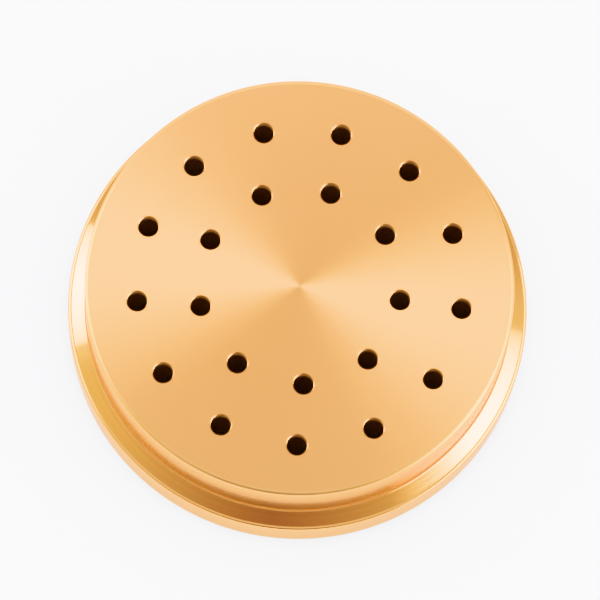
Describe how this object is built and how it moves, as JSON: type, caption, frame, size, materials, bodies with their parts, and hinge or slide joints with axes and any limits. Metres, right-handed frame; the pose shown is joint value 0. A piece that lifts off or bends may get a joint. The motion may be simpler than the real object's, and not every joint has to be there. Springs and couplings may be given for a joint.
{
  "type": "pasta extrusion die",
  "caption": "Turned bronze disc with a flange, a conical shoulder and a raised boss, drilled with two rings of stepped round holes that form dough into spaghetti strands.",
  "frame": {"origin": "centre of the back face, where the dough enters", "axes": "+Z along the turning axis, from the back face to the outlet face; +X through the first hole of both rings"},
  "size_m": [0.057, 0.057, 0.015],
  "materials": {
    "bronze": "fine turned, satin face and bright edges"
  },
  "bodies": {
    "root": {"die_body": "bronze"}
  },
  "joints": []
}
